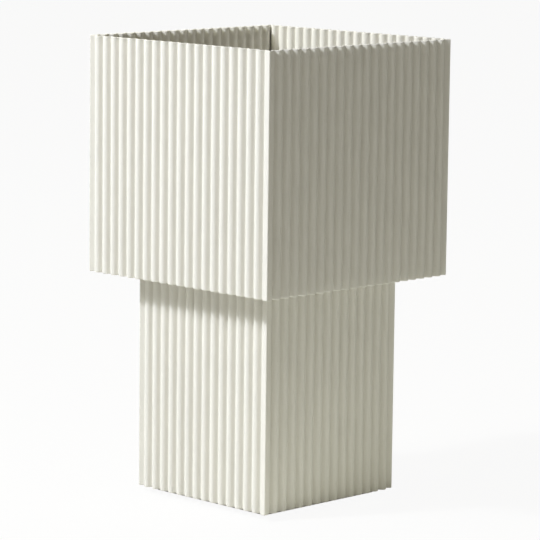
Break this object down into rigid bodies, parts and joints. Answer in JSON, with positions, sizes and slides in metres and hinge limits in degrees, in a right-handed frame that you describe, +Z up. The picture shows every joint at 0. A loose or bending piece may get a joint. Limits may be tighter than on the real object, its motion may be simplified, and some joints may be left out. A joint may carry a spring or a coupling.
{
  "type": "table lamp",
  "caption": "Square table lamp of ribbed sheet: a narrow column on an inset base carries a wider ribbed shade, open above and below, round an opal light, with a sprung button at the back.",
  "frame": {"origin": "centre of the rest face under the foot pad, on the lamp's upright axis", "axes": "+Z up along the column; the back wall with the button faces +Y; the folded corners point to (+X, -Y) and (-X, +Y), the seams run up the other two corners"},
  "size_m": [0.14, 0.14, 0.2492],
  "materials": {
    "powder_coat": "fine matt powder coat, cream white",
    "base_coat": "matt coat, cream white",
    "zinc_sheet": "zinc plated",
    "zinc_screws": "zinc plated",
    "nickel": "nickel plated",
    "bare_aluminium": "turned",
    "foot_rubber": "matt",
    "black_plastic": "moulded",
    "panel_plastic": "fine moulded grain, cream white",
    "circuit_board": "solder mask",
    "white_board": "white solder mask",
    "led_yellow": "phosphor",
    "opal": "opal acrylic, satin",
    "clear_plastic": "clear acrylic",
    "cell_wrap": "shrink sleeve",
    "lead_sheath": "sheathed lead"
  },
  "bodies": {
    "lamp": {"foot_pad": "foot_rubber", "base_plate": "base_coat", "base_tray": "zinc_sheet", "base_screws": "zinc_screws", "base_nuts": "zinc_screws", "battery_holder": "black_plastic", "battery_cell_front": "cell_wrap", "battery_cell_back": "cell_wrap", "battery_contacts": "nickel", "battery_strap": "zinc_sheet", "strap_screws": "zinc_screws", "control_bezel": "panel_plastic", "control_board": "circuit_board", "board_screws": "zinc_screws", "push_switch": "black_plastic", "usb_c_socket": "nickel", "charge_light_pipe": "clear_plastic", "board_components": "black_plastic", "battery_lead": "lead_sheath", "led_lead": "lead_sheath", "column_front_half": "powder_coat", "column_back_half": "powder_coat", "column_left_key": "powder_coat", "column_right_key": "powder_coat", "head_plate": "powder_coat", "head_screws": "zinc_screws", "head_nuts": "zinc_screws", "cable_grommet": "foot_rubber", "shade_spider": "powder_coat", "heat_sink": "bare_aluminium", "led_board": "white_board", "led_chips": "led_yellow", "led_screws": "zinc_screws", "opal_diffuser": "opal", "diffuser_ring": "powder_coat", "ring_screws": "zinc_screws", "shade_front_half": "powder_coat", "shade_back_half": "powder_coat", "shade_left_key": "powder_coat", "shade_right_key": "powder_coat"},
    "button": {"dimmer_button": "panel_plastic", "switch_plunger": "panel_plastic"}
  },
  "joints": [
    {"name": "dimmer_press", "type": "slide", "parent": "lamp", "child": "button", "axis": [0, -1, 0], "range_m": [0, 0.001], "stiffness_N_per_m": 1500, "springref_m": -0.0008}
  ]
}
